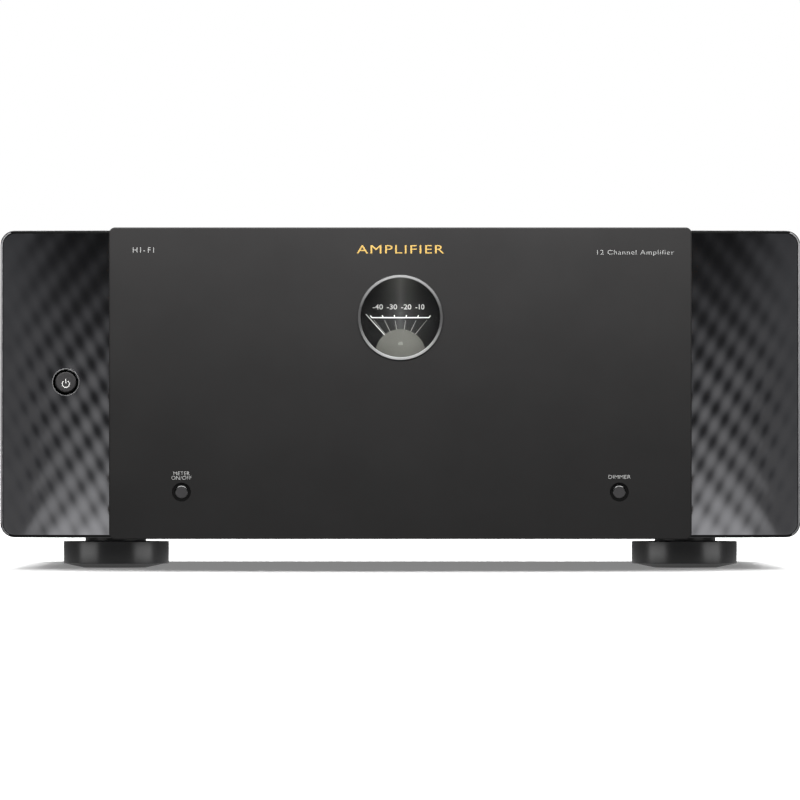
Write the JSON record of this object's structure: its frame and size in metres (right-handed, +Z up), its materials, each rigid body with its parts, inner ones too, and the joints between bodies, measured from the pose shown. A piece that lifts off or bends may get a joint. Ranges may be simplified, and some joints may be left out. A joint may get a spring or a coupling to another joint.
{
  "type": "power amplifier",
  "caption": "Wide multichannel power amplifier: thick dark centre panel with a round needle meter, textured swept wings, push buttons, rear sockets, round feet.",
  "frame": {"origin": "on the floor, under the middle of the bounding box", "axes": "+X to the right seen from the front, +Y from the front panel to the rear, +Z up"},
  "size_m": [0.442, 0.503, 0.1878],
  "materials": {
    "panel_aluminium": "bead-blasted, dark anodised",
    "plain_aluminium": "mill finish",
    "amber_light": "translucent amber, lit from behind",
    "wing_black": "satin black with a moulded relief",
    "frame_black": "matte black paint",
    "bright_metal": "polished",
    "lens_glass": "clear, polished",
    "moulded_black": "fine moulded grain",
    "dial_dark": "matte, printed",
    "mask_grey": "matte olive grey",
    "needle_white": "matte white",
    "key_black": "satin, dark anodised",
    "board_green": "solder mask",
    "painted_steel": "fine textured black paint",
    "rear_black": "fine textured black paint",
    "foot_black": "satin turned, black anodised",
    "pad_rubber": "matte",
    "screw_steel": "black oxide",
    "xlr_metal": "black chrome, satin",
    "insert_black": "satin",
    "rca_gold": "gold plated",
    "post_brass": "gold plated",
    "nut_red": "translucent red cap on a metal nut",
    "nut_black": "black cap on a metal nut",
    "inlet_black": "satin",
    "ferrite": "wound cores and sleeved cans"
  },
  "bodies": {
    "chassis": {"front_panel": "panel_aluminium", "panel_standoffs": "plain_aluminium", "light_guides": "amber_light", "left_wing": "wing_black", "right_wing": "wing_black", "front_frame": "frame_black", "meter_bezel": "bright_metal", "meter_lens": "lens_glass", "meter_housing": "moulded_black", "meter_movement": "plain_aluminium", "meter_dial": "dial_dark", "meter_mask": "mask_grey", "power_ring": "bright_metal", "control_board": "board_green", "base_plate": "painted_steel", "top_cover": "painted_steel", "rear_panel": "rear_black", "feet": "foot_black", "foot_pads": "pad_rubber", "chassis_screws": "screw_steel", "xlr_shells": "xlr_metal", "xlr_inserts": "insert_black", "rca_jacks": "rca_gold", "terminal_bases": "moulded_black", "terminal_posts": "post_brass", "control_jacks": "moulded_black", "ac_inlet": "inlet_black", "input_board": "board_green", "psu_board": "board_green", "psu_parts": "ferrite", "amp_boards": "board_green", "heatsinks": "plain_aluminium"},
    "power": {"power_button": "key_black"},
    "meter_key": {"meter_button": "key_black"},
    "dimmer_key": {"dimmer_button": "key_black"},
    "needle": {"meter_needle": "needle_white"},
    "plus_nut_01": {"plus_nut_01": "nut_red"},
    "plus_nut_02": {"plus_nut_02": "nut_red"},
    "plus_nut_03": {"plus_nut_03": "nut_red"},
    "plus_nut_04": {"plus_nut_04": "nut_red"},
    "plus_nut_05": {"plus_nut_05": "nut_red"},
    "plus_nut_06": {"plus_nut_06": "nut_red"},
    "plus_nut_07": {"plus_nut_07": "nut_red"},
    "plus_nut_08": {"plus_nut_08": "nut_red"},
    "plus_nut_09": {"plus_nut_09": "nut_red"},
    "plus_nut_10": {"plus_nut_10": "nut_red"},
    "plus_nut_11": {"plus_nut_11": "nut_red"},
    "plus_nut_12": {"plus_nut_12": "nut_red"},
    "minus_nut_01": {"minus_nut_01": "nut_black"},
    "minus_nut_02": {"minus_nut_02": "nut_black"},
    "minus_nut_03": {"minus_nut_03": "nut_black"},
    "minus_nut_04": {"minus_nut_04": "nut_black"},
    "minus_nut_05": {"minus_nut_05": "nut_black"},
    "minus_nut_06": {"minus_nut_06": "nut_black"},
    "minus_nut_07": {"minus_nut_07": "nut_black"},
    "minus_nut_08": {"minus_nut_08": "nut_black"},
    "minus_nut_09": {"minus_nut_09": "nut_black"},
    "minus_nut_10": {"minus_nut_10": "nut_black"},
    "minus_nut_11": {"minus_nut_11": "nut_black"},
    "minus_nut_12": {"minus_nut_12": "nut_black"}
  },
  "joints": [
    {"name": "power_press", "type": "slide", "parent": "chassis", "child": "power", "axis": [0, 1, 0], "range_m": [0, 0.0015], "stiffness_N_per_m": 600, "springref_m": -0.001},
    {"name": "meter_press", "type": "slide", "parent": "chassis", "child": "meter_key", "axis": [0, 1, 0], "range_m": [0, 0.001], "stiffness_N_per_m": 500, "springref_m": -0.001},
    {"name": "dimmer_press", "type": "slide", "parent": "chassis", "child": "dimmer_key", "axis": [0, 1, 0], "range_m": [0, 0.001], "stiffness_N_per_m": 500, "springref_m": -0.001},
    {"name": "needle_swing", "type": "hinge", "parent": "chassis", "child": "needle", "pos_m": [0, -0.24, 0.1191], "axis": [0, 1, 0], "range_deg": [0, 84], "stiffness_Nm_per_rad": 0.0002},
    {"name": "plus_unscrew_01", "type": "slide", "parent": "chassis", "child": "plus_nut_01", "axis": [0, 1, 0], "range_m": [0, 0.005]},
    {"name": "plus_unscrew_02", "type": "slide", "parent": "chassis", "child": "plus_nut_02", "axis": [0, 1, 0], "range_m": [0, 0.005]},
    {"name": "plus_unscrew_03", "type": "slide", "parent": "chassis", "child": "plus_nut_03", "axis": [0, 1, 0], "range_m": [0, 0.005]},
    {"name": "plus_unscrew_04", "type": "slide", "parent": "chassis", "child": "plus_nut_04", "axis": [0, 1, 0], "range_m": [0, 0.005]},
    {"name": "plus_unscrew_05", "type": "slide", "parent": "chassis", "child": "plus_nut_05", "axis": [0, 1, 0], "range_m": [0, 0.005]},
    {"name": "plus_unscrew_06", "type": "slide", "parent": "chassis", "child": "plus_nut_06", "axis": [0, 1, 0], "range_m": [0, 0.005]},
    {"name": "plus_unscrew_07", "type": "slide", "parent": "chassis", "child": "plus_nut_07", "axis": [0, 1, 0], "range_m": [0, 0.005]},
    {"name": "plus_unscrew_08", "type": "slide", "parent": "chassis", "child": "plus_nut_08", "axis": [0, 1, 0], "range_m": [0, 0.005]},
    {"name": "plus_unscrew_09", "type": "slide", "parent": "chassis", "child": "plus_nut_09", "axis": [0, 1, 0], "range_m": [0, 0.005]},
    {"name": "plus_unscrew_10", "type": "slide", "parent": "chassis", "child": "plus_nut_10", "axis": [0, 1, 0], "range_m": [0, 0.005]},
    {"name": "plus_unscrew_11", "type": "slide", "parent": "chassis", "child": "plus_nut_11", "axis": [0, 1, 0], "range_m": [0, 0.005]},
    {"name": "plus_unscrew_12", "type": "slide", "parent": "chassis", "child": "plus_nut_12", "axis": [0, 1, 0], "range_m": [0, 0.005]},
    {"name": "minus_unscrew_01", "type": "slide", "parent": "chassis", "child": "minus_nut_01", "axis": [0, 1, 0], "range_m": [0, 0.005]},
    {"name": "minus_unscrew_02", "type": "slide", "parent": "chassis", "child": "minus_nut_02", "axis": [0, 1, 0], "range_m": [0, 0.005]},
    {"name": "minus_unscrew_03", "type": "slide", "parent": "chassis", "child": "minus_nut_03", "axis": [0, 1, 0], "range_m": [0, 0.005]},
    {"name": "minus_unscrew_04", "type": "slide", "parent": "chassis", "child": "minus_nut_04", "axis": [0, 1, 0], "range_m": [0, 0.005]},
    {"name": "minus_unscrew_05", "type": "slide", "parent": "chassis", "child": "minus_nut_05", "axis": [0, 1, 0], "range_m": [0, 0.005]},
    {"name": "minus_unscrew_06", "type": "slide", "parent": "chassis", "child": "minus_nut_06", "axis": [0, 1, 0], "range_m": [0, 0.005]},
    {"name": "minus_unscrew_07", "type": "slide", "parent": "chassis", "child": "minus_nut_07", "axis": [0, 1, 0], "range_m": [0, 0.005]},
    {"name": "minus_unscrew_08", "type": "slide", "parent": "chassis", "child": "minus_nut_08", "axis": [0, 1, 0], "range_m": [0, 0.005]},
    {"name": "minus_unscrew_09", "type": "slide", "parent": "chassis", "child": "minus_nut_09", "axis": [0, 1, 0], "range_m": [0, 0.005]},
    {"name": "minus_unscrew_10", "type": "slide", "parent": "chassis", "child": "minus_nut_10", "axis": [0, 1, 0], "range_m": [0, 0.005]},
    {"name": "minus_unscrew_11", "type": "slide", "parent": "chassis", "child": "minus_nut_11", "axis": [0, 1, 0], "range_m": [0, 0.005]},
    {"name": "minus_unscrew_12", "type": "slide", "parent": "chassis", "child": "minus_nut_12", "axis": [0, 1, 0], "range_m": [0, 0.005]}
  ]
}
